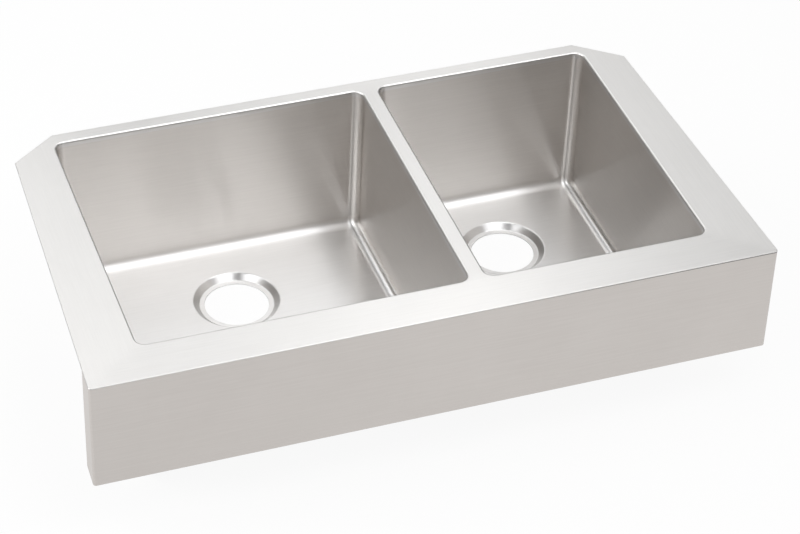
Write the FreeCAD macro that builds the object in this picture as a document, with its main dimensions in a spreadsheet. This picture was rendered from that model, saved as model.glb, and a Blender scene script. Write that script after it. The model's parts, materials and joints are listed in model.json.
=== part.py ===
import FreeCAD
import Part
import Sketcher
import math
import os

# Stainless apron-front sink with a wide left bowl and a narrow right bowl.
# Frame: +X to the right, +Y to the back wall, +Z up. The origin is the centre of the footprint, at the
# height of the lowest point (the underside of the drain recesses). Millimetres.

DIMENSIONS = (
    ("left_rim", 77, "deck's left front corner to the left opening"),
    ("left_bowl_width", 433, "left opening, side to side"),
    ("divider_width", 23, "flat strip between the openings"),
    ("right_bowl_width", 305, "right opening, side to side"),
    ("right_rim", 73, "right opening to the deck's right front corner"),
    ("front_rim", 62, "apron face to the openings"),
    ("bowl_length", 434, "both openings, front to back"),
    ("back_rim", 20, "openings to the deck's back edge"),
    ("side_taper", 18, "how much each side runs in towards the back, before the corner cut"),
    ("cut_width", 61, "corner cut, measured along the back edge"),
    ("cut_depth", 47, "corner cut, measured from the back edge forwards"),
    ("steel_gauge", 1.5, "sheet thickness of deck, apron and bowls"),
    ("edge_round", 0.8, "ground round on outer edges"),
    ("bowl_depth", 225, "deck top to bowl floor"),
    ("wall_inset", 4, "how far each bowl wall leans in, top to floor"),
    ("corner_radius", 14, "upright corners of openings and bowls"),
    ("floor_radius", 15, "bend between wall and floor"),
    ("collar_depth", 8, "deck sheet turned down into each bowl, from the deck top"),
    ("collar_radius", 3, "bend of the collar, on the visible side"),
    ("drain_hole", 89, "diameter of the open drain hole"),
    ("seat_width", 7, "flat ring round the drain hole"),
    ("recess_slope", 8, "run of the recess wall, seen from above"),
    ("recess_depth", 8, "floor to seat"),
    ("recess_bend", 3, "bend at the top of the recess wall, on the visible side"),
    ("seat_bend", 2, "bend between recess wall and seat, on the visible side"),
    ("drain_back", 123, "drain axis to the back edge of the opening"),
    ("apron_height", 159, "deck top to the apron's lower edge"),
    ("apron_bend", 4, "outer radius of the apron's upright corners"),
    ("return_depth", 38, "apron face to the back edge of each return"),
    ("lip_width", 15, "apron's inturned lower lip"),
    ("lip_relief", 9, "gap between the lip's end and the apron's side"),
    ("bead_size", 3, "leg of the apron's corner weld"),
    ("rim_bead_height", 4, "weld bead round each bowl"),
    ("rim_bead_width", 1.5, "how far that bead stands out"),
    ("rim_bead_crown", 1.2, "round of that bead's outer edges"),
    ("brace_width", 25, "bent strip behind the apron"),
    ("brace_inset", 32, "edge of an opening to the middle of a brace"),
    ("brace_lift", 31, "apron's lower edge up to the top of a brace's web"),
    ("brace_flange", 18, "length of a brace's flanges"),
    ("mat_thickness", 3, "damping mats"),
    ("mat_radius", 12, "corners of the damping mats"),
    ("wall_mat_height", 110, "damping mats on the bowl walls"),
    ("wall_mat_drop", 45, "deck top to the top of a wall mat"),
    ("wall_mat_inset", 60, "edge of an opening to the side of a wall mat"),
    ("floor_mat_inset", 35, "edge of an opening to the edge of a floor mat"),
    ("floor_mat_gap", 8, "drain recess to the cut-out in a floor mat"),
    ("apron_mat_drop", 22, "deck top to the top of the apron's mat"),
    ("apron_mat_gap", 22, "bottom of the apron's mat to the webs of the braces"),
    ("apron_mat_inset", 48, "end of the apron to the end of its mat"),
)

# Sizes, heights and places that several pieces share.
DECK_WIDTH = ("(Dims.left_rim + Dims.left_bowl_width + Dims.divider_width"
              " + Dims.right_bowl_width + Dims.right_rim)")
DECK_DEPTH = "(Dims.front_rim + Dims.bowl_length + Dims.back_rim)"
DECK_TOP = "(Dims.bowl_depth + Dims.recess_depth + Dims.steel_gauge)"
FLOOR = "(Dims.recess_depth + Dims.steel_gauge)"
APRON_FACE = f"(-{DECK_DEPTH} / 2)"
OPENING_FRONT = f"({APRON_FACE} + Dims.front_rim)"
OPENING_BACK = f"({OPENING_FRONT} + Dims.bowl_length)"
DRAIN_Y = f"({OPENING_BACK} - Dims.drain_back)"
SIDE_SLOPE = f"(Dims.side_taper / ({DECK_DEPTH} - Dims.cut_depth))"
BRACE_DROP = "(Dims.apron_height - Dims.brace_lift)"
WALL_SLOPE = "(Dims.wall_inset / (Dims.bowl_depth - Dims.collar_depth))"
WALL_ANGLE = "atan(Dims.wall_inset / (Dims.bowl_depth - Dims.collar_depth))"
SEAT_RADIUS = "(Dims.drain_hole / 2 + Dims.seat_width)"
RECESS_RADIUS = "(Dims.drain_hole / 2 + Dims.seat_width + Dims.recess_slope)"
# The recess wall is sheet of even thickness, so its underside lies this much further out.
RECESS_SHIFT = ("(Dims.steel_gauge * (sqrt(Dims.recess_slope ^ 2 + Dims.recess_depth ^ 2)"
                " - Dims.recess_slope) / Dims.recess_depth)")

LEFT_OPENING = {
    "name": "left_bowl",
    "left": f"(-{DECK_WIDTH} / 2 + Dims.left_rim)",
    "width": "Dims.left_bowl_width",
    "left_wall": "side",
    "right_wall": "divider",
}
RIGHT_OPENING = {
    "name": "right_bowl",
    "left": f"({DECK_WIDTH} / 2 - Dims.right_rim - Dims.right_bowl_width)",
    "width": "Dims.right_bowl_width",
    "left_wall": "divider",
    "right_wall": "side",
}
OPENINGS = (LEFT_OPENING, RIGHT_OPENING)

# Two heights or places closer than this are the same; an edge's box may be this much too large.
TOUCH = 1e-4
NEAR = 0.5


# ---------------------------------------------------------------- small helpers

def fill_sheet():
    sheet = doc.addObject("Spreadsheet::Sheet", "Dims")
    for row, (alias, value, note) in enumerate(DIMENSIONS, start=1):
        sheet.set(f"A{row}", alias)
        sheet.set(f"B{row}", str(value))
        sheet.setAlias(f"B{row}", alias)
        sheet.set(f"C{row}", note)
    doc.recompute()
    return sheet


def number(expression):
    return float(sheet.evalExpression(str(expression)))


def middle_of(opening):
    return f"({opening['left']} + {opening['width']} / 2)"


def new_body(label):
    body = doc.addObject("PartDesign::Body", label)
    body.Label = label
    return body


def new_sketch(body, role, name, height=None):
    plane = next(feature for feature in body.Origin.OriginFeatures if feature.Role == role)
    sketch = body.newObject("Sketcher::SketchObject", name)
    sketch.AttachmentSupport = (plane, [""])
    sketch.MapMode = "FlatFace"
    if height is not None:
        sketch.setExpression("AttachmentOffset.Base.z", height)
    return sketch


def pin_value(sketch, kind, *target, name, expression):
    """Add a dimension to a sketch and bind it to an expression."""
    index = sketch.addConstraint(Sketcher.Constraint(kind, *target, number(expression)))
    sketch.renameConstraint(index, name)
    sketch.setExpression(f"Constraints.{name}", expression)


def draw_polygon(sketch, corners, tag="p"):
    """Closed polygon whose every corner is a pair of expressions."""
    points = [FreeCAD.Vector(number(x), number(y), 0) for x, y in corners]
    first = sketch.GeometryCount
    count = len(points)
    for index, start in enumerate(points):
        sketch.addGeometry(Part.LineSegment(start, points[(index + 1) % count]))
    for index, (x, y) in enumerate(corners):
        line = first + index
        following = first + (index + 1) % count
        sketch.addConstraint(Sketcher.Constraint("Coincident", line, 2, following, 1))
        pin_value(sketch, "DistanceX", -1, 1, line, 1, name=f"{tag}x{index}", expression=x)
        pin_value(sketch, "DistanceY", -1, 1, line, 1, name=f"{tag}y{index}", expression=y)


def draw_rounded_box(sketch, left, right, front, back, radius, tag="b"):
    """Rectangle with four equal round corners, its sides and radius given as expressions."""
    x0, x1, y0, y1, r = (number(value) for value in (left, right, front, back, radius))
    first = sketch.GeometryCount
    sides = (((x0 + r, y0), (x1 - r, y0)), ((x1, y0 + r), (x1, y1 - r)),
             ((x1 - r, y1), (x0 + r, y1)), ((x0, y1 - r), (x0, y0 + r)))
    centres = ((x1 - r, y0 + r), (x1 - r, y1 - r), (x0 + r, y1 - r), (x0 + r, y0 + r))
    quarter = math.pi / 2
    up = FreeCAD.Vector(0, 0, 1)
    for corner, ((start, end), centre) in enumerate(zip(sides, centres)):
        sketch.addGeometry(Part.LineSegment(FreeCAD.Vector(*start, 0), FreeCAD.Vector(*end, 0)))
        circle = Part.Circle(FreeCAD.Vector(*centre, 0), up, r)
        angle = (corner - 1) * quarter
        sketch.addGeometry(Part.ArcOfCircle(circle, angle, angle + quarter))
    for corner in range(4):
        line = first + 2 * corner
        arc = line + 1
        following = first + (2 * corner + 2) % 8
        sketch.addConstraint(Sketcher.Constraint("Tangent", line, 2, arc, 1))
        sketch.addConstraint(Sketcher.Constraint("Tangent", arc, 2, following, 1))
        sketch.addConstraint(Sketcher.Constraint("Vertical" if corner % 2 else "Horizontal", line))
        if corner:
            sketch.addConstraint(Sketcher.Constraint("Equal", first + 1, arc))
    pin_value(sketch, "Radius", first + 1, name=f"{tag}radius", expression=radius)
    pin_value(sketch, "DistanceY", -1, 1, first, 1, name=f"{tag}front", expression=front)
    pin_value(sketch, "DistanceX", -1, 1, first + 2, 1, name=f"{tag}right", expression=right)
    pin_value(sketch, "DistanceY", -1, 1, first + 4, 1, name=f"{tag}back", expression=back)
    pin_value(sketch, "DistanceX", -1, 1, first + 6, 1, name=f"{tag}left", expression=left)


def draw_circle(sketch, x, y, radius, tag="c"):
    centre = FreeCAD.Vector(number(x), number(y), 0)
    circle = sketch.addGeometry(Part.Circle(centre, FreeCAD.Vector(0, 0, 1), number(radius)))
    pin_value(sketch, "DistanceX", -1, 1, circle, 3, name=f"{tag}x", expression=x)
    pin_value(sketch, "DistanceY", -1, 1, circle, 3, name=f"{tag}y", expression=y)
    pin_value(sketch, "Radius", circle, name=f"{tag}radius", expression=radius)


def extrude(body, kind, sketch, length, name, reverse=False):
    """Pad or Pocket from a sketch, and a check that it changed the solid the right way."""
    before = body.Tip.Shape.Volume if body.Tip and body.Tip.Shape.Solids else 0.0
    feature = body.newObject(f"PartDesign::{kind}", name)
    feature.Profile = sketch
    feature.setExpression("Length", length)
    feature.Reversed = reverse
    doc.recompute()
    check_change(feature, before, grows=kind == "Pad")
    return feature


def turn(body, kind, sketch, name):
    """Revolution or Groove, a full turn about the sketch's upright axis."""
    before = body.Tip.Shape.Volume
    feature = body.newObject(f"PartDesign::{kind}", name)
    feature.Profile = sketch
    feature.ReferenceAxis = (sketch, ["V_Axis"])
    feature.Angle = 360
    doc.recompute()
    check_change(feature, before, grows=kind == "Revolution")
    return feature


def check_change(feature, before, grows):
    after = feature.Shape.Volume
    if (after > before) != grows or abs(after - before) < TOUCH:
        raise RuntimeError(f"{feature.Name} left the volume at {after:.1f} (was {before:.1f})")


def round_edges(body, wanted, radius, name):
    """Fillet on every edge of the tip that the test picks."""
    base = body.Tip
    edges = [f"Edge{index}" for index, edge in enumerate(base.Shape.Edges, start=1) if wanted(edge)]
    if not edges:
        raise RuntimeError(f"{name} found no edge")
    feature = body.newObject("PartDesign::Fillet", name)
    feature.Base = (base, edges)
    feature.setExpression("Radius", radius)
    doc.recompute()
    if "Invalid" in feature.State or not feature.Shape.isValid():
        raise RuntimeError(f"{name} failed on {len(edges)} edges")
    return feature


def at_height(edge, height):
    return all(abs(vertex.Z - height) < TOUCH for vertex in edge.Vertexes)


def is_upright(edge):
    box = edge.BoundBox
    return box.ZLength > TOUCH and box.XLength < TOUCH and box.YLength < TOUCH


def place(thing, x, y, z):
    for axis, expression in zip("xyz", (x, y, z)):
        thing.setExpression(f"Placement.Base.{axis}", expression)


def tilt(thing, axis, angle):
    thing.Placement = FreeCAD.Placement(FreeCAD.Vector(), FreeCAD.Rotation(axis, number(angle)))
    thing.setExpression("Placement.Rotation.Angle", angle)


# ---------------------------------------------------------------- deck and apron

def side_x(distance_back, sign):
    """X of the deck's slanting side edge at a distance behind the apron face."""
    return f"{sign} * ({DECK_WIDTH} / 2 - {SIDE_SLOPE} * ({distance_back}))"


def deck_outline():
    back = f"({DECK_DEPTH} / 2)"
    shoulder = f"({back} - Dims.cut_depth)"
    shoulder_x = f"({DECK_WIDTH} / 2 - Dims.side_taper)"
    back_x = f"({shoulder_x} - Dims.cut_width)"
    return ((f"-{DECK_WIDTH} / 2", APRON_FACE), (f"{DECK_WIDTH} / 2", APRON_FACE),
            (shoulder_x, shoulder), (back_x, back), (f"-{back_x}", back), (f"-{shoulder_x}", shoulder))


def opening_sides(opening, grow):
    """Left, right, front and back of an opening, moved outwards by grow."""
    return (f"{opening['left']} - {grow}", f"{opening['left']} + {opening['width']} + {grow}",
            f"{OPENING_FRONT} - {grow}", f"{OPENING_BACK} + {grow}")


def by_opening(edge, grow):
    """True for an edge that lies wholly inside one opening's rectangle, grown on every side."""
    box = edge.BoundBox
    for opening in OPENINGS:
        left, right, front, back = (number(side) for side in opening_sides(opening, grow))
        if (box.XMin > left - NEAR and box.XMax < right + NEAR
                and box.YMin > front - NEAR and box.YMax < back + NEAR):
            return True
    return False


def make_deck():
    """Flat plate whose two openings are turned down into collars for the bowls."""
    body = new_body("deck_plate")
    gauge = "Dims.steel_gauge"
    sketch = new_sketch(body, "XY_Plane", "deck_outline")
    draw_polygon(sketch, deck_outline())
    extrude(body, "Pad", sketch, gauge, "deck_sheet", reverse=True)
    front = number(APRON_FACE)
    round_edges(body, lambda edge: is_upright(edge) and abs(edge.Vertexes[0].Y - front) < TOUCH,
          "Dims.apron_bend", "deck_front_corners")
    for opening in OPENINGS:
        sketch = new_sketch(body, "XY_Plane", f"{opening['name']}_collar_outline")
        draw_rounded_box(sketch, *opening_sides(opening, gauge), f"Dims.corner_radius + {gauge}")
        extrude(body, "Pad", sketch, "Dims.collar_depth", f"{opening['name']}_collar", reverse=True)
    for opening in OPENINGS:
        sketch = new_sketch(body, "XY_Plane", f"{opening['name']}_hole_outline")
        draw_rounded_box(sketch, *opening_sides(opening, "0"), "Dims.corner_radius")
        extrude(body, "Pocket", sketch, "2 * Dims.collar_depth", f"{opening['name']}_hole")
    below = -number(gauge)
    round_edges(body, lambda edge: at_height(edge, 0) and by_opening(edge, gauge),
          "Dims.collar_radius", "collar_bend_top")
    round_edges(body, lambda edge: at_height(edge, below) and by_opening(edge, gauge),
          f"Dims.collar_radius - {gauge}", "collar_bend_below")
    round_edges(body,
          lambda edge: at_height(edge, 0) and not by_opening(edge, f"{gauge} + Dims.collar_radius"),
          "Dims.edge_round", "deck_edge_round")
    place(body, "0", "0", DECK_TOP)
    return body


def make_apron():
    """One bent sheet: front, a return at each end that follows the deck's side, and a lower lip."""
    body = new_body("apron_panel")
    gauge = "Dims.steel_gauge"
    across = f"({gauge} * sqrt(1 + {SIDE_SLOPE} ^ 2))"
    corners = [(side_x("0", "-1"), "0"), (side_x("0", "1"), "0"),
               (side_x("Dims.return_depth", "1"), "Dims.return_depth"),
               (f"{side_x('Dims.return_depth', '1')} - {across}", "Dims.return_depth"),
               (f"{side_x(gauge, '1')} - {across}", gauge),
               (f"{side_x(gauge, '-1')} + {across}", gauge),
               (f"{side_x('Dims.return_depth', '-1')} + {across}", "Dims.return_depth"),
               (side_x("Dims.return_depth", "-1"), "Dims.return_depth")]
    sketch = new_sketch(body, "XY_Plane", "apron_plan")
    draw_polygon(sketch, corners)
    extrude(body, "Pad", sketch, f"Dims.apron_height - {gauge}", "apron_sheet", reverse=True)
    thick = number(gauge)
    round_edges(body, lambda edge: is_upright(edge) and abs(edge.Vertexes[0].Y) < TOUCH,
          "Dims.apron_bend", "apron_corner_outside")
    round_edges(body, lambda edge: is_upright(edge) and abs(edge.Vertexes[0].Y - thick) < TOUCH,
          f"Dims.apron_bend - {gauge}", "apron_corner_inside")
    lip = new_sketch(body, "XY_Plane", "lip_plan", f"-(Dims.apron_height - {gauge})")
    lip_end = f"({DECK_WIDTH} / 2 - Dims.lip_relief)"
    draw_polygon(lip, ((f"-{lip_end}", f"{gauge} / 2"), (lip_end, f"{gauge} / 2"),
                       (lip_end, "Dims.lip_width"), (f"-{lip_end}", "Dims.lip_width")))
    extrude(body, "Pad", lip, gauge, "apron_lip")
    bottom = -number(f"Dims.apron_height - {gauge}")

    def lower_front(edge):
        return at_height(edge, bottom) and all(abs(vertex.Y) < TOUCH for vertex in edge.Vertexes)

    round_edges(body, lower_front, "Dims.edge_round", "apron_lower_round")
    place(body, "0", APRON_FACE, f"{DECK_TOP} - {gauge}")
    return body


# ---------------------------------------------------------------- bowls

def wedge(body, opening, grow, low, name):
    """Leaning-sided block in a bowl's own frame: drain axis at x = y = 0, floor at z = 0."""
    rim = "(Dims.bowl_depth - Dims.collar_depth)"
    lean = f"({WALL_SLOPE} * ({rim} - {low}))"
    half = f"({opening['width']} / 2 + {grow})"
    behind = f"(Dims.drain_back + {grow})"
    before = f"(Dims.bowl_length - Dims.drain_back + {grow})"
    feature = body.newObject("PartDesign::AdditiveWedge", name)
    plane = next(part for part in body.Origin.OriginFeatures if part.Role == "XY_Plane")
    feature.AttachmentSupport = (plane, [""])
    feature.MapMode = "FlatFace"
    # The block's own Y runs up and its own Z runs forwards.
    upright = FreeCAD.Rotation(FreeCAD.Vector(1, 0, 0), 90)
    feature.AttachmentOffset = FreeCAD.Placement(FreeCAD.Vector(), upright)
    sizes = {"Ymin": low, "Ymax": rim,
             "X2min": f"-{half}", "X2max": half, "Z2min": f"-{behind}", "Z2max": before,
             "Xmin": f"-{half} + {lean}", "Xmax": f"{half} - {lean}",
             "Zmin": f"-{behind} + {lean}", "Zmax": f"{before} - {lean}"}
    for size, expression in sizes.items():
        feature.setExpression(size, expression)
    doc.recompute()
    return feature


def round_bowl(body, low, high, corner_radius, floor_radius, name):
    """Round a block's four leaning corners, then the bend all round its floor."""
    low, high = number(low), number(high)

    def leaning_corner(edge):
        levels = sorted(vertex.Z for vertex in edge.Vertexes)
        return len(levels) == 2 and abs(levels[0] - low) < TOUCH and abs(levels[1] - high) < TOUCH

    round_edges(body, leaning_corner, corner_radius, f"{name}_corners")
    round_edges(body, lambda edge: at_height(edge, low), floor_radius, f"{name}_floor_bend")


def make_bowl(opening):
    """Drawn bowl with leaning walls, a pressed drain recess and the drain hole."""
    label = opening["name"]
    gauge = "Dims.steel_gauge"
    rim = "(Dims.bowl_depth - Dims.collar_depth)"
    hollow = new_body(f"{label}_hollow")
    wedge(hollow, opening, "0", "0", f"{label}_hollow_block")
    round_bowl(hollow, "0", rim, "Dims.corner_radius", "Dims.floor_radius", f"{label}_inside")
    body = new_body(label)
    wedge(body, opening, gauge, f"(-{gauge})", f"{label}_block")
    round_bowl(body, f"-{gauge}", rim, f"Dims.corner_radius + {gauge}", f"Dims.floor_radius + {gauge}",
               f"{label}_outside")
    before = body.Tip.Shape.Volume
    cut = body.newObject("PartDesign::Boolean", f"{label}_cut")
    cut.Type = "Cut"
    cut.setObjects([hollow])
    doc.recompute()
    check_change(cut, before, grows=False)
    press_drain(body, label)
    # The hollow stays at its own origin: the cut is made in the bowl's frame.
    place(body, middle_of(opening), DRAIN_Y, FLOOR)
    return body


def press_drain(body, label):
    gauge = "Dims.steel_gauge"
    seat_bottom = f"(-Dims.recess_depth - {gauge})"
    sketch = new_sketch(body, "XZ_Plane", f"{label}_recess_outside")
    draw_polygon(sketch, (("0", f"-{gauge} / 2"), (f"{RECESS_RADIUS} + {RECESS_SHIFT}", f"-{gauge} / 2"),
                          (f"{RECESS_RADIUS} + {RECESS_SHIFT}", f"-{gauge}"),
                          (f"{SEAT_RADIUS} + {RECESS_SHIFT}", seat_bottom), ("0", seat_bottom)))
    turn(body, "Revolution", sketch, f"{label}_recess_boss")
    sketch = new_sketch(body, "XZ_Plane", f"{label}_recess_inside")
    draw_polygon(sketch, (("0", "0"), (RECESS_RADIUS, "0"), (SEAT_RADIUS, "-Dims.recess_depth"),
                          ("0", "-Dims.recess_depth")))
    turn(body, "Groove", sketch, f"{label}_recess")
    sketch = new_sketch(body, "XY_Plane", f"{label}_drain_outline")
    draw_circle(sketch, "0", "0", "Dims.drain_hole / 2")
    extrude(body, "Pocket", sketch, "2 * (Dims.recess_depth + Dims.steel_gauge)", f"{label}_drain_hole")

    def ring(radius, height):
        across = 2 * number(radius)
        level = number(height)
        return lambda edge: at_height(edge, level) and abs(edge.BoundBox.XLength - across) < NEAR

    round_edges(body, ring(RECESS_RADIUS, "0"), "Dims.recess_bend", f"{label}_recess_bend")
    round_edges(body, ring(SEAT_RADIUS, "-Dims.recess_depth"), "Dims.seat_bend", f"{label}_seat_bend")
    round_edges(body, ring(f"{RECESS_RADIUS} + {RECESS_SHIFT}", f"-{gauge}"),
          f"Dims.recess_bend - {gauge}", f"{label}_recess_bend_below")
    round_edges(body, ring(f"{SEAT_RADIUS} + {RECESS_SHIFT}", seat_bottom),
          f"Dims.seat_bend + {gauge}", f"{label}_seat_bend_below")


# ---------------------------------------------------------------- welds

def make_rim_bead(opening):
    """Weld bead round the joint between a collar and its bowl."""
    label = f"{opening['name']}_rim_weld"
    body = new_body(label)
    sketch = new_sketch(body, "XY_Plane", f"{label}_plan", "-Dims.rim_bead_height / 2")
    grow = "(Dims.steel_gauge + Dims.rim_bead_width)"
    draw_rounded_box(sketch, *opening_sides(opening, grow), f"Dims.corner_radius + {grow}", tag="out")
    draw_rounded_box(sketch, *opening_sides(opening, "Dims.steel_gauge"),
                     "Dims.corner_radius + Dims.steel_gauge", tag="in")
    extrude(body, "Pad", sketch, "Dims.rim_bead_height", f"{label}_band")
    half = number("Dims.rim_bead_height") / 2
    sides = [number(side) for side in opening_sides(opening, grow)]

    def outer(edge):
        box = edge.BoundBox
        level = at_height(edge, half) or at_height(edge, -half)
        return level and (abs(box.XMin - sides[0]) < TOUCH or abs(box.XMax - sides[1]) < TOUCH
                          or abs(box.YMin - sides[2]) < TOUCH or abs(box.YMax - sides[3]) < TOUCH)

    round_edges(body, outer, "Dims.rim_bead_crown", f"{label}_crown")
    place(body, "0", "0", f"{DECK_TOP} - Dims.collar_depth")
    return body


def make_apron_bead():
    """Corner weld under the deck, along the inside of the apron's front."""
    body = new_body("apron_seam_weld")
    sketch = new_sketch(body, "YZ_Plane", "apron_seam_section")
    draw_polygon(sketch, (("0", "0"), ("Dims.bead_size", "0"), ("0", "-Dims.bead_size")))
    end = f"(Dims.apron_bend + Dims.steel_gauge + {SIDE_SLOPE} * Dims.bead_size)"
    extrude(body, "Pad", sketch, f"{DECK_WIDTH} - 2 * {end}", "apron_seam")
    body.Tip.Midplane = True
    place(body, "0", f"{APRON_FACE} + Dims.steel_gauge", f"{DECK_TOP} - Dims.steel_gauge")
    return body


# ---------------------------------------------------------------- braces and mats

def make_brace(label, x):
    """Z-shaped strip: a flange down the apron, a level web, and a flange up the bowl's leaning wall."""
    body = new_body(label)
    gauge = "Dims.steel_gauge"
    web_top = f"(-{BRACE_DROP})"
    web_bottom = f"({web_top} - {gauge})"
    flange_top = f"({web_top} + Dims.brace_flange)"
    flange_bottom = f"({web_bottom} - Dims.brace_flange)"

    def wall(height):
        return f"(Dims.front_rim - {gauge} - {WALL_SLOPE} * ({height} + Dims.collar_depth))"

    corners = ((gauge, web_top), (gauge, flange_bottom), (f"2 * {gauge}", flange_bottom),
               (f"2 * {gauge}", web_bottom), (wall(web_bottom), web_bottom), (wall(flange_top), flange_top),
               (f"{wall(flange_top)} - {gauge}", flange_top), (f"{wall(web_top)} - {gauge}", web_top))
    sketch = new_sketch(body, "YZ_Plane", f"{label}_section")
    draw_polygon(sketch, corners)
    extrude(body, "Pad", sketch, "Dims.brace_width", f"{label}_strip")
    body.Tip.Midplane = True
    place(body, x, APRON_FACE, DECK_TOP)
    return body


def make_mat(label, width, height, cutout=None):
    """Damping mat: its back at z = 0 in its own frame, its middle at x = y = 0."""
    body = new_body(label)
    sketch = new_sketch(body, "XY_Plane", f"{label}_outline")
    draw_rounded_box(sketch, f"-({width}) / 2", f"({width}) / 2", f"-({height}) / 2", f"({height}) / 2",
                     "Dims.mat_radius")
    if cutout:
        draw_circle(sketch, *cutout)
    extrude(body, "Pad", sketch, "Dims.mat_thickness", f"{label}_sheet")
    return body


def wall_mat_place():
    """Level of a wall mat's middle, and how far outside the opening the leaning wall's back is there."""
    drop = "(Dims.wall_mat_drop + Dims.wall_mat_height / 2)"
    lean = f"({WALL_SLOPE} * ({drop} - Dims.collar_depth))"
    return f"{DECK_TOP} - {drop}", f"(Dims.steel_gauge - {lean})"


def make_wall_mats(opening):
    """One mat on each wall of a bowl: front, back, left and right."""
    x_axis = FreeCAD.Vector(1, 0, 0)
    y_axis = FreeCAD.Vector(0, 1, 0)
    middle_y = f"({OPENING_FRONT} + Dims.bowl_length / 2)"
    width = f"({opening['width']} - 2 * Dims.wall_mat_inset)"
    length = "(Dims.bowl_length - 2 * Dims.wall_mat_inset)"
    height = "Dims.wall_mat_height"
    level, out = wall_mat_place()
    mats = []
    for wall, edge, sign, angle in (("front", OPENING_FRONT, "-1", f"90 deg + {WALL_ANGLE}"),
                                    ("back", OPENING_BACK, "1", f"-90 deg - {WALL_ANGLE}")):
        mat = make_mat(f"{opening['name']}_{wall}_mat", width, height)
        tilt(mat, x_axis, angle)
        place(mat, middle_of(opening), f"{edge} + {sign} * {out}", level)
        mats.append(mat)
    right_edge = f"({opening['left']} + {opening['width']})"
    for wall, edge, sign, angle in ((opening["left_wall"], opening["left"], "-1", f"-90 deg - {WALL_ANGLE}"),
                                    (opening["right_wall"], right_edge, "1", f"90 deg + {WALL_ANGLE}")):
        mat = make_mat(f"{opening['name']}_{wall}_mat", height, length)
        tilt(mat, y_axis, angle)
        place(mat, f"{edge} + {sign} * {out}", middle_y, level)
        mats.append(mat)
    return mats


def make_floor_mat(opening):
    """Mat under a bowl's floor, cut out round the drain recess."""
    width = f"({opening['width']} - 2 * Dims.floor_mat_inset)"
    length = "(Dims.bowl_length - 2 * Dims.floor_mat_inset)"
    drain = "(Dims.bowl_length / 2 - Dims.drain_back)"
    radius = f"{RECESS_RADIUS} + {RECESS_SHIFT} + Dims.floor_mat_gap"
    # Turned over about the X axis, so that its own +Y points to the front of the sink.
    mat = make_mat(f"{opening['name']}_floor_mat", width, length, ("0", f"-{drain}", radius))
    tilt(mat, FreeCAD.Vector(1, 0, 0), "180 deg")
    place(mat, middle_of(opening), f"{OPENING_FRONT} + Dims.bowl_length / 2", f"{FLOOR} - Dims.steel_gauge")
    return mat


def make_apron_mat():
    height = f"({BRACE_DROP} - Dims.apron_mat_drop - Dims.apron_mat_gap)"
    mat = make_mat("apron_mat", f"{DECK_WIDTH} - 2 * Dims.apron_mat_inset", height)
    tilt(mat, FreeCAD.Vector(1, 0, 0), "-90 deg")
    place(mat, "0", f"{APRON_FACE} + Dims.steel_gauge",
          f"{DECK_TOP} - Dims.apron_mat_drop - {height} / 2")
    return mat


# ---------------------------------------------------------------- the whole sink

def make_sink():
    left_start, right_start = (opening["left"] for opening in OPENINGS)
    left_end, right_end = (f"({opening['left']} + {opening['width']})" for opening in OPENINGS)
    pieces = [make_deck(), make_apron()]
    pieces += [make_bowl(opening) for opening in OPENINGS]
    pieces += [make_rim_bead(opening) for opening in OPENINGS]
    pieces.append(make_apron_bead())
    pieces.append(make_brace("outer_left_brace", f"{left_start} + Dims.brace_inset"))
    pieces.append(make_brace("inner_left_brace", f"{left_end} - Dims.brace_inset"))
    pieces.append(make_brace("inner_right_brace", f"{right_start} + Dims.brace_inset"))
    pieces.append(make_brace("outer_right_brace", f"{right_end} - Dims.brace_inset"))
    for opening in OPENINGS:
        pieces += make_wall_mats(opening)
    pieces += [make_floor_mat(opening) for opening in OPENINGS]
    pieces.append(make_apron_mat())
    return pieces


def check_document():
    for thing in doc.Objects:
        if "Invalid" in thing.State or "Error" in thing.State:
            raise RuntimeError(f"{thing.Name} is {thing.State}")


def write_pieces(pieces):
    os.makedirs("parts", exist_ok=True)
    for piece in pieces:
        shape = piece.Shape
        if shape.isNull() or not shape.isValid() or not shape.Solids:
            raise RuntimeError(f"{piece.Label} has no sound solid")
    for piece in pieces:
        piece.Shape.exportStep(f"parts/{piece.Label}.step")
        box = piece.Shape.BoundBox
        print(f"{piece.Label}: {len(piece.Shape.Solids)} solid, {piece.Shape.Volume / 1000:.1f} cm3,"
              f" z {box.ZMin:.1f} to {box.ZMax:.1f}")


doc = FreeCAD.newDocument("apron_sink")
sheet = fill_sheet()
sink = make_sink()
doc.recompute()
check_document()
write_pieces(sink)
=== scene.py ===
import bpy
import bmesh
import json
from math import atan2, cos, pi, radians, sin, sqrt, tan
from mathutils import Matrix, Vector
from mathutils.geometry import tessellate_polygon


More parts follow.
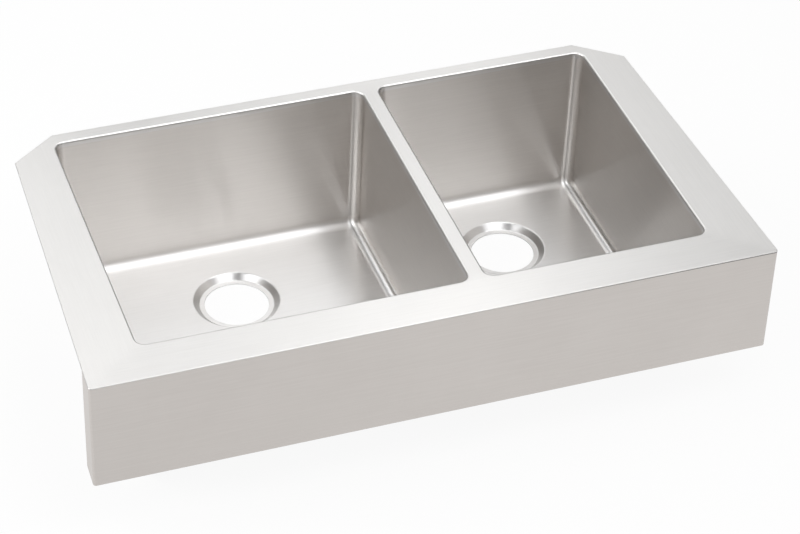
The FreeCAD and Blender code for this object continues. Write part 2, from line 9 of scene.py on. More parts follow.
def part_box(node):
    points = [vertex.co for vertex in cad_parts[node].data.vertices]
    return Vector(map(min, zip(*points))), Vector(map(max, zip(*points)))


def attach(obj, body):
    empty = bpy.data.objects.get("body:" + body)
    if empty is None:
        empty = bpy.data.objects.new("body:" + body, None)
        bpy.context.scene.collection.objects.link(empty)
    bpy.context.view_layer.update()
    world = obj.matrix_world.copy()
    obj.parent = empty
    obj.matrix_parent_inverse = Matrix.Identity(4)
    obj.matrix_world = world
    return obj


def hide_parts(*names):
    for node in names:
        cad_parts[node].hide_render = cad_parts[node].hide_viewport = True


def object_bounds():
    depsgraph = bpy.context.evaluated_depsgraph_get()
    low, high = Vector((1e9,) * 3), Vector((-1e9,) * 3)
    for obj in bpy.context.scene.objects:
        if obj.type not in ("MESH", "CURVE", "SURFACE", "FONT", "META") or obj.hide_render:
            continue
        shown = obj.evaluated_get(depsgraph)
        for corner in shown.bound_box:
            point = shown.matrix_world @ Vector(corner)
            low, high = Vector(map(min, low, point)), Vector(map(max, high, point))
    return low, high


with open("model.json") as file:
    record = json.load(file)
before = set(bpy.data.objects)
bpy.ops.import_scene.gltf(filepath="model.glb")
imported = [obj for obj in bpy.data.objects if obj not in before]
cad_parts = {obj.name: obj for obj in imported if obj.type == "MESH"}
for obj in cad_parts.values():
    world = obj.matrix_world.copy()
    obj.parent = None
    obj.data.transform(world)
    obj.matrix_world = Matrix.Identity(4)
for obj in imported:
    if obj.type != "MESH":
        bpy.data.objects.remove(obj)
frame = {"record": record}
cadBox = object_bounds()
mounts = {mount["name"]: mount for mount in frame["record"]["mounts"]}
mm = 0.001

# The sheet that the deck, the apron and both bowls are made of.
sheet = {
    "gauge": 1.5 * mm,
    "smallRound": 0.35 * mm,   # deburred edges
    "leastRound": 0.01 * mm,   # a corner is never sharper, so its loops keep their points
    "merge": 0.001 * mm,       # points that are closer become one
    "sharp": radians(35),      # edges that turn more stay crisp
}

deckLow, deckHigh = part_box("deck_plate")
apronLow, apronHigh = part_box("apron_panel")


def rectangle(x0, y0, x1, y1):
    return [(x0, y0), (x1, y0), (x1, y1), (x0, y1)]


def openingOf(node):
    # The hole in the deck over a bowl: the bowl's box without its walls.
    low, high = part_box(node)
    gauge = sheet["gauge"]
    x0, y0, x1, y1 = low.x + gauge, low.y + gauge, high.x - gauge, high.y - gauge
    return {"node": node, "x0": x0, "x1": x1, "y0": y0, "y1": y1,
            "rim": deckLow.z, "corners": rectangle(x0, y0, x1, y1)}


openings = [openingOf("left_bowl"), openingOf("right_bowl")]


# Outlines and sections

def roundedLine(points, steps=6):
    # Points are (a, b, radius); each one with a radius becomes an arc between its two lines.
    line = []
    for index, (a, b, radius) in enumerate(points):
        here = Vector((a, b))
        if radius <= 0 or index in (0, len(points) - 1):
            line.append(here)
            continue
        back = (Vector(points[index - 1][:2]) - here).normalized()
        ahead = (Vector(points[index + 1][:2]) - here).normalized()
        half = back.angle(ahead) / 2
        centre = here + (back + ahead).normalized() * radius / sin(half)
        start = here + back * radius / tan(half) - centre
        end = here + ahead * radius / tan(half) - centre
        turn = start.angle_signed(end)
        for step in range(steps + 1):
            angle = -turn * step / steps
            line.append(centre + Vector((start.x * cos(angle) - start.y * sin(angle),
                                         start.x * sin(angle) + start.y * cos(angle))))
    return line


def outlineLoop(corners, inset, z, radii, steps=8, closed=True):
    # Corners run anticlockwise. The outline is moved inwards by inset, and its corners are arcs.
    count = len(corners)
    if not hasattr(radii, "__len__"):
        radii = [radii] * count
    sides = [(Vector(corners[(i + 1) % count]) - Vector(corners[i])).normalized() for i in range(count)]
    inward = [Vector((-side.y, side.x)) for side in sides]
    loop = []
    for index, corner in enumerate(corners):
        before, after = inward[index - 1], inward[index]
        if not closed and index in (0, count - 1):
            normal = after if index == 0 else before
            loop.append((Vector(corner) + normal * inset).to_3d() + Vector((0, 0, z)))
            continue
        bisector = (before + after) / (1 + before.dot(after))
        radius = max(radii[index], sheet["leastRound"])
        centre = Vector(corner) + bisector * (inset + radius)
        first = atan2(-before.y, -before.x)
        turn = before.angle_signed(after)
        for step in range(steps + 1):
            angle = first - turn * step / steps
            loop.append(Vector((centre.x + radius * cos(angle), centre.y + radius * sin(angle), z)))
    return loop


def circleLoop(centre, radius, z, count=96):
    return [Vector((centre.x + radius * cos(2 * pi * i / count),
                    centre.y + radius * sin(2 * pi * i / count), z)) for i in range(count)]


# Meshes and objects

def skin(mesh, loops, closed=True):
    # Quads between neighbouring loops of equal length; returns the loops as vertices.
    rows = [[mesh.verts.new(point) for point in loop] for loop in loops]
    for lower, upper in zip(rows, rows[1:]):
        count = len(lower)
        for i in range(count if closed else count - 1):
            j = (i + 1) % count
            mesh.faces.new((lower[i], lower[j], upper[j], upper[i]))
    return rows


def bar(mesh, section, x0, x1):
    # A section of (y, z) points drawn out along X; returns its two end loops.
    return skin(mesh, [[Vector((x, y, z)) for y, z in section] for x in (x0, x1)])


def fillFlat(mesh, *loops):
    # A flat face with holes: the first loop is its outline.
    verts = [vert for loop in loops for vert in loop]
    for triangle in tessellate_polygon([[vert.co for vert in loop] for loop in loops]):
        mesh.faces.new([verts[i] for i in triangle])


def soften(mesh, sharp):
    # Faces point outwards, and edges that turn less than the angle are shaded smooth.
    bmesh.ops.recalc_face_normals(mesh, faces=mesh.faces)
    for edge in mesh.edges:
        edge.smooth = len(edge.link_faces) == 2 and edge.calc_face_angle() < sharp
    for face in mesh.faces:
        face.smooth = True


def linked(name, data):
    holder = bpy.data.objects.new(name, data)
    bpy.context.scene.collection.objects.link(holder)
    return holder


def toObject(mesh, name):
    data = bpy.data.meshes.new(name)
    mesh.to_mesh(data)
    mesh.free()
    return linked(name, data)


def toMesh(piece):
    # The piece's mesh for more work; the piece itself goes.
    mesh = bmesh.new()
    mesh.from_mesh(piece.data)
    bpy.data.objects.remove(piece)
    return mesh


def applyModifiers(piece):
    evaluated = piece.evaluated_get(bpy.context.evaluated_depsgraph_get())
    data = bpy.data.meshes.new_from_object(evaluated)
    piece.modifiers.clear()
    piece.data = data
    data.name = piece.name
    return piece


def formed(mesh, name, material):
    # A closed piece of sheet: its flat faces are shaded flat, and its bends smooth.
    bmesh.ops.remove_doubles(mesh, verts=mesh.verts, dist=sheet["merge"])
    bmesh.ops.dissolve_degenerate(mesh, dist=sheet["merge"], edges=mesh.edges)
    soften(mesh, sheet["sharp"])
    piece = toObject(mesh, name)
    piece.data.materials.append(material)
    weighted = piece.modifiers.new("flatFaces", "WEIGHTED_NORMAL")
    weighted.keep_sharp = True
    weighted.weight = 100
    return applyModifiers(piece)


def smoothed(piece, sharp):
    mesh = bmesh.new()
    mesh.from_mesh(piece.data)
    soften(mesh, sharp)
    mesh.to_mesh(piece.data)
    mesh.free()
    return piece


def settle(piece, node):
    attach(piece, "root")
    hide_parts(node)


# Node trees

class Graph:
    def __init__(self, tree):
        self.tree = tree

    def feed(self, socket, value):
        if hasattr(value, "is_output"):
            self.tree.links.new(value, socket)
        else:
            socket.default_value = value

    def add(self, kind, *values, out=0, **settings):
        # Values go to the node's inputs in order; None leaves an input as it is.
        node = self.tree.nodes.new(kind)
        for key, setting in settings.items():
            setattr(node, key, setting)
        for socket, value in zip(node.inputs, values):
            if value is not None:
                self.feed(socket, value)
        return node.outputs[out]

    def math(self, operation, *values):
        return self.add("ShaderNodeMath", *values, operation=operation)

    def vector(self, x, y, z):
        return self.add("ShaderNodeCombineXYZ", x, y, z)

    def ramp(self, value, low, high, outLow=0.0, outHigh=1.0):
        return self.add("ShaderNodeMapRange", value, low, high, outLow, outHigh,
                        interpolation_type="SMOOTHSTEP")

    def blend(self, factor, first, second):
        return self.math("ADD", self.math("MULTIPLY", self.math("SUBTRACT", 1.0, factor), first),
                         self.math("MULTIPLY", factor, second))


class Finish(Graph):
    # A material of one Principled shader, patterned on Object coordinates.
    seedStep = (1.0, 0.37, 0.71)   # metres that a pattern moves for each step of its seed

    def __init__(self, name, metallic, anisotropy=0.0):
        self.material = bpy.data.materials.new(name)
        self.material.use_nodes = True
        super().__init__(self.material.node_tree)
        self.shader = self.tree.nodes["Principled BSDF"].inputs
        self.shader["Metallic"].default_value = metallic
        self.shader["Anisotropic"].default_value = anisotropy
        coordinates = self.tree.nodes.new("ShaderNodeTexCoord").outputs
        self.place = coordinates["Object"]
        self.facing = coordinates["Normal"]
        self.x, self.y, self.z = self.parts(self.place)

    def parts(self, vector):
        split = self.tree.nodes.new("ShaderNodeSeparateXYZ")
        self.feed(split.inputs[0], vector)
        return split.outputs

    def noise(self, scale, detail=2.0, seed=0.0, roughness=0.6):
        # Scale is in cells per metre, for each axis or for all of them.
        if not hasattr(scale, "__len__"):
            scale = (scale, scale, scale)
        offset = tuple(step * seed for step in self.seedStep)
        place = self.add("ShaderNodeMapping", self.place, offset, None, scale)
        return self.add("ShaderNodeTexNoise", place, None, 1.0, detail, roughness)

    def colour(self, factor, first, second):
        mix = self.tree.nodes.new("ShaderNodeMix")
        mix.data_type = "RGBA"
        self.feed(mix.inputs[0], factor)
        for socket, value in ((mix.inputs[6], first), (mix.inputs[7], second)):
            self.feed(socket, value if hasattr(value, "is_output") else (*value, 1))
        return mix.outputs[2]

    def rough(self, pattern, look, low=0.3, high=0.7):
        # The roughness goes round its middle value with the pattern.
        middle, spread = look["roughness"], look["spread"]
        self.feed(self.shader["Roughness"], self.ramp(pattern, low, high, middle - spread, middle + spread))

    def relief(self, *layers):
        # Bump from pairs of a pattern and its depth in metres.
        height, *others = [self.math("MULTIPLY", pattern, depth) for pattern, depth in layers]
        for other in others:
            height = self.math("ADD", height, other)
        node = self.tree.nodes.new("ShaderNodeBump")
        node.inputs["Strength"].default_value = 1.0
        node.inputs["Distance"].default_value = 1.0
        self.feed(node.inputs["Height"], height)
        self.feed(self.shader["Normal"], node.outputs["Normal"])

    def showWhite(self, share, lit):
        # The camera sees part of the surface as plain white, and so do reflections where lit is 1.
        rays = self.tree.nodes.new("ShaderNodeLightPath").outputs
        mirrored = self.math("MAXIMUM", rays["Is Glossy Ray"], rays["Is Transmission Ray"])
        seen = self.math("MAXIMUM", rays["Is Camera Ray"], self.math("MULTIPLY", mirrored, lit))
        glow = self.add("ShaderNodeEmission", (1, 1, 1, 1), 1.0)
        mixed = self.add("ShaderNodeMixShader", self.math("MULTIPLY", seen, share),
                         self.tree.nodes["Principled BSDF"].outputs[0], glow)
        self.feed(self.tree.nodes["Material Output"].inputs["Surface"], mixed)


class Growth(Graph):
    # A Geometry Nodes tree with named inputs, which its caller runs on a mesh.
    kinds = {int: "NodeSocketInt", float: "NodeSocketFloat"}

    def __init__(self, name, **sizes):
        super().__init__(bpy.data.node_groups.new(name, "GeometryNodeTree"))
        self.tree.is_modifier = True
        new = self.tree.interface.new_socket
        new("Geometry", in_out="OUTPUT", socket_type="NodeSocketGeometry")
        new("Geometry", in_out="INPUT", socket_type="NodeSocketGeometry")
        self.keys = {}
        for label, size in sizes.items():
            socket = new(label, in_out="INPUT", socket_type=self.kinds[type(size)])
            socket.default_value = size
            self.keys[label] = socket.identifier
        self.keys["material"] = new("material", in_out="INPUT", socket_type="NodeSocketMaterial").identifier
        self.given = self.tree.nodes.new("NodeGroupInput").outputs

    def finish(self, *parts):
        join = self.tree.nodes.new("GeometryNodeJoinGeometry")
        for part in parts:
            self.tree.links.new(part, join.inputs[0])
        whole = self.add("GeometryNodeRealizeInstances", join.outputs[0])
        painted = self.add("GeometryNodeSetMaterial", whole, None, self.given["material"])
        self.feed(self.tree.nodes.new("NodeGroupOutput").inputs[0], painted)
        return self

    def run(self, name, mesh, material, **sizes):
        # The result is a plain mesh, with no modifier left on it.
        piece = toObject(mesh, name)
        modifier = piece.modifiers.new(name, "NODES")
        modifier.node_group = self.tree
        modifier[self.keys["material"]] = material
        for label, size in sizes.items():
            modifier[self.keys[label]] = size
        return applyModifiers(piece)


# Brushed steel, in cells per metre where nothing else is said
brushing = {
    "along": 14.0,             # along the grain
    "streaks": 420.0,          # across it: the streaks that the eye sees
    "hairs": 2600.0,           # and its fine hairs
    "hairDepth": 0.0004 * mm,
    "strokes": 1400.0,         # strokes of two directions that meet at a mitre
    "interleave": 2.0,         # how far they reach between each other
    "oneWay": 4.0,             # more than any stroke reaches: the grain runs along X all over
    "clouds": 9.0,             # soft patches
    "waveSize": 5.0,           # slow waves of the sheet
    "waveDepth": 0.12 * mm,
    "contrast": (0.25, 0.75),  # the part of a pattern that goes from dark to light
}


def oneWay(f):
    return brushing["oneWay"]


def steel(name, look, grainAlongX, upright, seam=None):
    # grainAlongX is 1 where the brushing runs along X and 0 where it runs along Y;
    # upright is 1 on walls, where it runs level, round the wall; seam is 1 in a dark joint, whose darkness is
    # partly painted shade.
    f = Finish(name, 1.0, look["anisotropy"])
    wall = upright(f)
    flat = f.math("SUBTRACT", 1.0, wall)
    along, strokes = brushing["along"], brushing["strokes"]
    # Where both directions meet, strokes of one lie between strokes of the other.
    strokesX = f.noise((along, strokes, along), seed=21.0)
    strokesY = f.noise((strokes, along, along), seed=24.0)
    lead = f.math("MULTIPLY", f.math("SUBTRACT", strokesX, strokesY), brushing["interleave"])
    alongX = f.math("GREATER_THAN", f.math("ADD", grainAlongX(f), lead), 0.5)

    def grain(across, seed):
        onX = f.noise((along, across, across), seed=seed)
        onY = f.noise((across, along, across), seed=seed + 3)
        onWall = f.noise((along, along, across), seed=seed + 7)
        return f.blend(wall, f.blend(alongX, onY, onX), onWall)

    streak, hair = grain(brushing["streaks"], seed=1.0), grain(brushing["hairs"], seed=11.0)
    cloud = f.noise(brushing["clouds"], detail=3.0, seed=5.0)
    fine = f.ramp(f.blend(look["cloud"], streak, cloud), *brushing["contrast"])
    # Flat faces and walls take separate palettes; the walls' darker palette is painted shade on the same
    # sheet.
    onFlat = f.colour(fine, look["dark"], look["light"])
    onWall = f.colour(fine, look["shadedWallDark"], look["shadedWallLight"])
    base = f.colour(wall, onFlat, onWall)
    f.feed(f.shader["Base Color"], f.colour(seam(f), base, look["seam"]) if seam else base)
    middle = f.blend(wall, look["roughness"], look["wallRoughness"])
    f.feed(f.shader["Roughness"], f.math("ADD", middle, f.ramp(streak, *brushing["contrast"],
                                                               -look["spread"], look["spread"])))
    # The tangent lies across the grain; its sign follows the bend at the foot of a front or back wall.
    sign = f.math("SUBTRACT", 1.0, f.math("MULTIPLY", f.math("GREATER_THAN", f.parts(f.facing)[1], 0.0), 2.0))
    acrossX = f.math("MULTIPLY", flat, f.math("SUBTRACT", 1.0, alongX))
    acrossY = f.math("MULTIPLY", sign, f.math("MULTIPLY", flat, alongX))
    f.feed(f.shader["Tangent"], f.vector(acrossX, acrossY, wall))
    wave = f.noise(brushing["waveSize"], detail=1.0, seed=2.0)
    f.relief((wave, brushing["waveDepth"]), (hair, brushing["hairDepth"]))
    return f.material


deckSpec = {
    "width": 911 * mm,          # across the front, before its corners are rounded
    "taper": 18 * mm,           # each side runs in by this much towards the back
    "cutWidth": 61 * mm,        # back corner cuts, along the back edge
    "cutDepth": 47 * mm,        # and forwards from it
    "frontCorner": 4 * mm,
    "backCorner": 1.2 * mm,
    "edgeRound": 0.8 * mm,
    "openingCorner": 14 * mm,
    "collarBend": 3 * mm,       # the sheet turns down into each bowl
    "collarFrom": 1.2 * mm,     # the collar's finish starts this far below the top
    "collarFull": 2.4 * mm,
    "mitreBlur": 24 * mm,       # where the strokes of two strips meet
    # The collar's palette is darker than the top's, painted shade on one sheet.
    "steel": {"dark": (0.75, 0.742, 0.73), "light": (0.79, 0.782, 0.77), "cloud": 0.4,
              "shadedWallDark": (0.72, 0.71, 0.70), "shadedWallLight": (0.76, 0.75, 0.74),
              "roughness": 0.38, "wallRoughness": 0.38, "spread": 0.02, "anisotropy": 0.4},
}


def deckCorners():
    wide, front, back = deckSpec["width"] / 2, deckLow.y, deckHigh.y
    shoulder = back - deckSpec["cutDepth"]
    inner = wide - deckSpec["taper"]
    end = inner - deckSpec["cutWidth"]
    return [(-wide, front), (wide, front), (inner, shoulder), (end, back), (-end, back), (-inner, shoulder)]


def deckGrain(f):
    # The front and back strips are brushed along X, with mitres at the outer corners.
    left, right = openings
    wide, front = deckCorners()[1]
    blur = deckSpec["mitreBlur"]
    pastLeft = f.math("MAXIMUM", f.math("SUBTRACT", left["x0"], f.x), 0.0)
    pastRight = f.math("MAXIMUM", f.math("SUBTRACT", f.x, right["x1"]), 0.0)
    leftSlope = (left["y0"] - front) / (left["x0"] + wide)
    rightSlope = (right["y0"] - front) / (wide - right["x1"])
    drop = f.math("ADD", f.math("MULTIPLY", pastLeft, leftSlope), f.math("MULTIPLY", pastRight, rightSlope))
    frontLine = f.math("SUBTRACT", left["y0"], drop)
    backLine = f.math("ADD", left["y1"], drop)
    inFront = f.ramp(f.math("SUBTRACT", frontLine, f.y), -blur, blur)
    inBack = f.ramp(f.math("SUBTRACT", f.y, backLine), -blur, blur)
    return f.math("MAXIMUM", inFront, inBack)


def deckWall(f):
    return f.ramp(f.z, deckHigh.z - deckSpec["collarFull"], deckHigh.z - deckSpec["collarFrom"], 1.0, 0.0)


def makeDeck():
    spec, gauge, small, top = deckSpec, sheet["gauge"], sheet["smallRound"], deckHigh.z
    # The first and last points of a section only aim its arcs, so they are dropped.
    edge = roundedLine([(2 * spec["edgeRound"], top, 0), (0, top, spec["edgeRound"]),
                        (0, top - gauge, small), (gauge, top - gauge, 0)], steps=4)[1:-1]
    radii = [spec["frontCorner"]] * 2 + [spec["backCorner"]] * 4
    mesh = bmesh.new()
    rows = skin(mesh, [outlineLoop(deckCorners(), inset, z, [radius - inset for radius in radii])
                       for inset, z in edge])
    bend, corner = spec["collarBend"], spec["openingCorner"]
    tops, bottoms = [rows[0]], [rows[-1]]
    for opening in openings:
        collar = roundedLine([(2 * bend, top, 0), (0, top, bend), (0, opening["rim"], 0),
                              (gauge, opening["rim"], 0), (gauge, top - gauge, bend - gauge),
                              (2 * bend, top - gauge, 0)], steps=8)[1:-1]
        rows = skin(mesh, [outlineLoop(opening["corners"], -grow, z, corner + grow) for grow, z in collar])
        tops.append(rows[0])
        bottoms.append(rows[-1])
    fillFlat(mesh, *tops)
    fillFlat(mesh, *bottoms)
    material = steel("deckSteel", spec["steel"], deckGrain, deckWall)
    settle(formed(mesh, "deckPlate", material), "deck_plate")


makeDeck()
print("deck")


apronSpec = {
    "bend": 4 * mm,             # upright corners at the apron's ends
    "return": 38 * mm,
    "lowerRound": 0.8 * mm,
    "lip": 15 * mm,             # turned in along the lower edge
    "lipRelief": 9 * mm,        # from the lip's end to the apron's side
    "lipBend": 1.5 * mm,
    "seamDepth": 1.1 * mm,      # the joint under the deck, a real dark joint painted darker with shade that fades in from seamShadeStart to seamShadeEnd along X
    "seamShadeStart": -0.05,
    "seamShadeEnd": 0.42,
    # The apron's palette is darker and warmer than the deck's, though both are one sheet: painted shade on
    # its upright front.
    "steel": {"dark": (0.63, 0.61, 0.59), "light": (0.68, 0.66, 0.64), "cloud": 0.4,
              "shadedWallDark": (0.612, 0.578, 0.551), "shadedWallLight": (0.657, 0.623, 0.596),
              "seam": (0.10, 0.095, 0.09),
              "roughness": 0.38, "wallRoughness": 0.38, "spread": 0.02, "anisotropy": 0.6},
}


def apronWall(f):
    return f.ramp(f.z, apronLow.z, apronLow.z + sheet["gauge"])


def apronSeamShade(f):
    # The joint's dark line: a real joint, darkened with painted shade that grows towards +X.
    top, depth = apronHigh.z, apronSpec["seamDepth"]
    under = f.ramp(f.z, top - depth, top - depth / 3)
    return f.math("MULTIPLY", under, f.ramp(f.x, apronSpec["seamShadeStart"], apronSpec["seamShadeEnd"]))


def makeApron():
    spec, gauge, small = apronSpec, sheet["gauge"], sheet["smallRound"]
    top, bottom = apronHigh.z, apronLow.z
    wide, front = deckCorners()[1]
    slope = deckSpec["taper"] / (deckHigh.y - deckSpec["cutDepth"] - front)
    back, backWide = front + spec["return"], wide - slope * spec["return"]
    path = [(-backWide, back), (-wide, front), (wide, front), (backWide, back)]
    section = roundedLine([(gauge / 2, top, 0), (0, top, small), (0, bottom, spec["lowerRound"]),
                           (gauge, bottom, small), (gauge, top, small), (gauge / 2, top, 0)], steps=4)[:-1]
    mesh = bmesh.new()
    loops = [outlineLoop(path, inset, z, spec["bend"] - inset, closed=False) for inset, z in section]
    skin(mesh, loops + loops[:1], closed=False)
    bmesh.ops.remove_doubles(mesh, verts=mesh.verts, dist=sheet["merge"])
    bmesh.ops.holes_fill(mesh, edges=[edge for edge in mesh.edges if edge.is_boundary], sides=0)
    # The lip is joined to the sheet's lower edge.
    depth, above = spec["lip"], bottom + gauge
    lipSection = roundedLine([(gauge / 2, bottom, 0), (depth, bottom, 2 * small), (depth, above, 2 * small),
                              (gauge, above, spec["lipBend"]), (gauge, bottom + 3 * gauge, 0),
                              (gauge / 2, bottom + 3 * gauge, 0)], steps=5)
    end = wide - spec["lipRelief"]
    flap = bmesh.new()
    for face in bar(flap, [(front + y, z) for y, z in lipSection], -end, end):
        flap.faces.new(face)
    bmesh.ops.recalc_face_normals(flap, faces=flap.faces)
    lip = toObject(flap, "lip")
    material = steel("apronSteel", spec["steel"], oneWay, apronWall, apronSeamShade)
    piece = formed(mesh, "apronPanel", material)
    union = piece.modifiers.new("lip", "BOOLEAN")
    union.operation = "UNION"
    union.object = lip
    union.solver = "EXACT"
    whole = toMesh(applyModifiers(piece))
    bpy.data.objects.remove(lip)
    settle(formed(whole, "apronPanel", material), "apron_panel")


makeApron()
print("apron")


bowlSpec = {
    "lean": 4 * mm,             # each wall leans in by this much, rim to floor
    "corner": 14 * mm,
    "leastCorner": 0.4 * mm,    # corners of the floor where its bend ends
    "floorBend": 15 * mm,
    "recessDepth": 8 * mm,      # the drain's recess, with a flat seat round the hole
    "recessRun": 8 * mm,
    "recessBend": 3 * mm,
    "seatWidth": 7 * mm,
    "seatBend": 2 * mm,
    "holeRound": 0.3 * mm,
    "wallFrom": 2 * mm,         # the wall's finish starts this far above the floor
    "wallFull": 12 * mm,
    # The walls' palette is darker and warmer than the floor's, painted shade on one sheet.
    "steel": {"dark": (0.757, 0.757, 0.757), "light": (0.795, 0.795, 0.795), "cloud": 0.4,
              "shadedWallDark": (0.69, 0.661, 0.634), "shadedWallLight": (0.73, 0.70, 0.672),
              "roughness": 0.36, "wallRoughness": 0.33, "spread": 0.02, "anisotropy": 0.9},
}
bowlFloor = sheet["gauge"] + bowlSpec["recessDepth"]
wallLean = bowlSpec["lean"] / (deckLow.z - bowlFloor)   # inwards for each metre down


def bowlWall(f):
    return f.ramp(f.z, bowlFloor + bowlSpec["wallFrom"], bowlFloor + bowlSpec["wallFull"])


def bowlRings(opening, grow, floor, bend):
    # Rings from the rim down a leaning wall and round the bend to the flat floor.
    rim, corner = opening["rim"], bowlSpec["corner"] + grow
    foot = wallLean * (rim - floor) - grow
    line = roundedLine([(-grow, rim, 0), (foot, floor, bend), (foot + 2 * bend, floor, 0)], steps=12)[:-1]
    wallEnd, floorStart = line[1].x, line[-1].x
    rings = []
    for inset, z in line:
        share = max(inset - wallEnd, 0.0) / (floorStart - wallEnd)
        radius = corner * (1 - share) + bowlSpec["leastCorner"]
        rings.append(outlineLoop(opening["corners"], inset, z, radius, steps=12))
    return rings


def recessSection(hole):
    # From the floor down to the seat and the hole, and back under the sheet.
    spec, gauge, top = bowlSpec, sheet["gauge"], bowlFloor
    under = top - gauge
    seat = hole + spec["seatWidth"]
    wide = seat + spec["recessRun"]
    start = wide + 4 * spec["recessBend"]
    shift = gauge * (sqrt(2) - 1)   # keeps the sheet's gauge on the slope of 45 degrees
    line = roundedLine([
        (start, top, 0), (wide, top, spec["recessBend"]), (seat, gauge, spec["seatBend"]),
        (hole, gauge, spec["holeRound"]), (hole, 0, spec["holeRound"]),
        (seat + shift, 0, spec["seatBend"] + gauge), (wide + shift, under, spec["recessBend"] - gauge),
        (start, under, 0)], steps=5)
    return line[1:-1]


def makeBowl(opening, name, material):
    gauge, bend, node = sheet["gauge"], bowlSpec["floorBend"], opening["node"]
    drain = mounts[node.replace("_bowl", "_drain")]
    centre = Vector(drain["pos_m"])
    mesh = bmesh.new()
    inside = skin(mesh, bowlRings(opening, 0.0, bowlFloor, bend))
    outside = skin(mesh, bowlRings(opening, gauge, bowlFloor - gauge, bend + gauge))
    section = recessSection(drain["dims"]["r_mm"] * mm)
    recess = skin(mesh, [circleLoop(centre, radius, z) for radius, z in section])
    fillFlat(mesh, inside[-1], recess[0])
    fillFlat(mesh, outside[-1], recess[-1])
    inner, outer = inside[0], outside[0]
    for i in range(len(inner)):
        j = (i + 1) % len(inner)
        mesh.faces.new((inner[i], inner[j], outer[j], outer[i]))
    settle(formed(mesh, name, material), node)


bowlSteel = steel("bowlSteel", bowlSpec["steel"], oneWay, bowlWall)
makeBowl(openings[0], "leftBowl", bowlSteel)
makeBowl(openings[1], "rightBowl", bowlSteel)
print("bowls")


weldSpec = {
    "ripple": 1.7 * mm,         # length of one ripple of the bead
    "ringsPerRipple": 4,
    "dip": 0.2,                 # how much the bead shrinks along a ripple
    "sides": 8,
    "sharp": radians(50),
    "steel": {"straw": (0.62, 0.50, 0.34), "blue": (0.40, 0.41, 0.47), "bare": (0.58, 0.56, 0.53),
              "roughness": 0.36, "spread": 0.08, "tintSize": 90.0, "bareTint": (0.38, 0.52),
              "blueTint": (0.5, 0.62), "grit": 1500.0, "gritDepth": 0.02 * mm},
}


def weldSteel():
    look = weldSpec["steel"]
    f = Finish("weldSteel", 1.0)
    tint = f.noise(look["tintSize"], detail=3.0)
    heat = f.colour(f.ramp(tint, *look["blueTint"]), look["straw"], look["blue"])
    f.feed(f.shader["Base Color"], f.colour(f.ramp(tint, *look["bareTint"]), look["bare"], heat))
    f.rough(tint, look)
    f.relief((f.noise(look["grit"]), look["gritDepth"]))
    return f.material


def weldTree():
    # A bead along a path: its section shrinks along each ripple and starts full again at the next.
    g = Growth("weldBead", ripple=weldSpec["ripple"], rings=weldSpec["ringsPerRipple"],
               dip=weldSpec["dip"], across=1 * mm, upright=1 * mm)
    given = g.given
    path = g.add("GeometryNodeMeshToCurve", given["Geometry"])
    step = g.math("DIVIDE", given["ripple"], given["rings"])
    rings = g.add("GeometryNodeResampleCurve", path, None, None, step, mode="LENGTH")
    along = g.add("GeometryNodeSplineParameter", out=1)
    share = g.math("FRACT", g.math("DIVIDE", along, given["ripple"]))
    size = g.math("SUBTRACT", 1.0, g.math("MULTIPLY", given["dip"], share))
    sized = g.add("GeometryNodeSetCurveRadius", rings, None, size)
    level = g.add("GeometryNodeSetCurveNormal", sized, mode="Z_UP")
    # The section is a circle one unit across, stretched to the bead's width and height.
    circle = g.add("GeometryNodeCurvePrimitiveCircle", weldSpec["sides"], None, None, None, 0.5)
    section = g.add("GeometryNodeTransform", circle, None, None,
                    g.vector(given["across"], given["upright"], 1.0))
    bead = g.add("GeometryNodeCurveToMesh", level, section)
    for socket in bead.node.inputs:
        if socket.name == "Fill Caps":
            socket.default_value = True
        if socket.name == "Scale":
            g.feed(socket, size)
    return g.finish(bead)


def makeWelds():
    material, tree = weldSteel(), weldTree()

    def makeBead(name, node, points, closed, across):
        low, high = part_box(node)
        mesh = bmesh.new()
        verts = [mesh.verts.new(point) for point in points]
        for first, second in zip(verts, verts[1:] + verts[:1] if closed else verts[1:]):
            mesh.edges.new((first, second))
        bead = tree.run(name, mesh, material, across=across, upright=high.z - low.z)
        settle(smoothed(bead, weldSpec["sharp"]), node)

    for opening in openings:
        node = opening["node"] + "_rim_weld"
        low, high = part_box(node)
        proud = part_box(opening["node"])[0].x - low.x
        reach = sheet["gauge"] + proud / 2
        loop = outlineLoop(opening["corners"], -reach, (low.z + high.z) / 2,
                           bowlSpec["corner"] + reach, steps=10)
        makeBead(opening["node"].replace("_bowl", "RimWeld"), node, loop, True, proud)
    low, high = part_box("apron_seam_weld")
    middle = (low + high) / 2
    line = [Vector((x, middle.y, middle.z)) for x in (low.x, high.x)]
    makeBead("apronSeamWeld", "apron_seam_weld", line, False, high.y - low.y)


makeWelds()
print("welds")


braceSpec = {
    "webRise": 18 * mm,         # from the brace's lower end to its web
    "outerBend": 2.2 * mm,
    "innerBend": 0.7 * mm,
    "endRound": 0.3 * mm,
    "spots": 2,                 # spot welds on each flange
    "spotGap": 11 * mm,
    "spotRadius": 2.6 * mm,
    "spotRise": 0.35 * mm,
    "spotSegments": 16,
    "spotRings": 7,
    "sharp": radians(50),
    "steel": {"dark": (0.52, 0.51, 0.495), "light": (0.64, 0.63, 0.615), "contrast": (0.3, 0.7),
              "roughness": 0.42, "spread": 0.05, "anisotropy": 0.3,
              "rolling": (700.0, 16.0, 16.0), "lines": (900.0, 30.0, 30.0), "lineDepth": 0.01 * mm},
}


def braceSteel():
    look = braceSpec["steel"]
    f = Finish("braceSteel", 1.0, look["anisotropy"])
    rolled = f.noise(look["rolling"], seed=4.0)
    f.feed(f.shader["Base Color"], f.colour(f.ramp(rolled, *look["contrast"]), look["dark"], look["light"]))
    f.rough(rolled, look)
    f.relief((f.noise(look["lines"]), look["lineDepth"]))
    return f.material


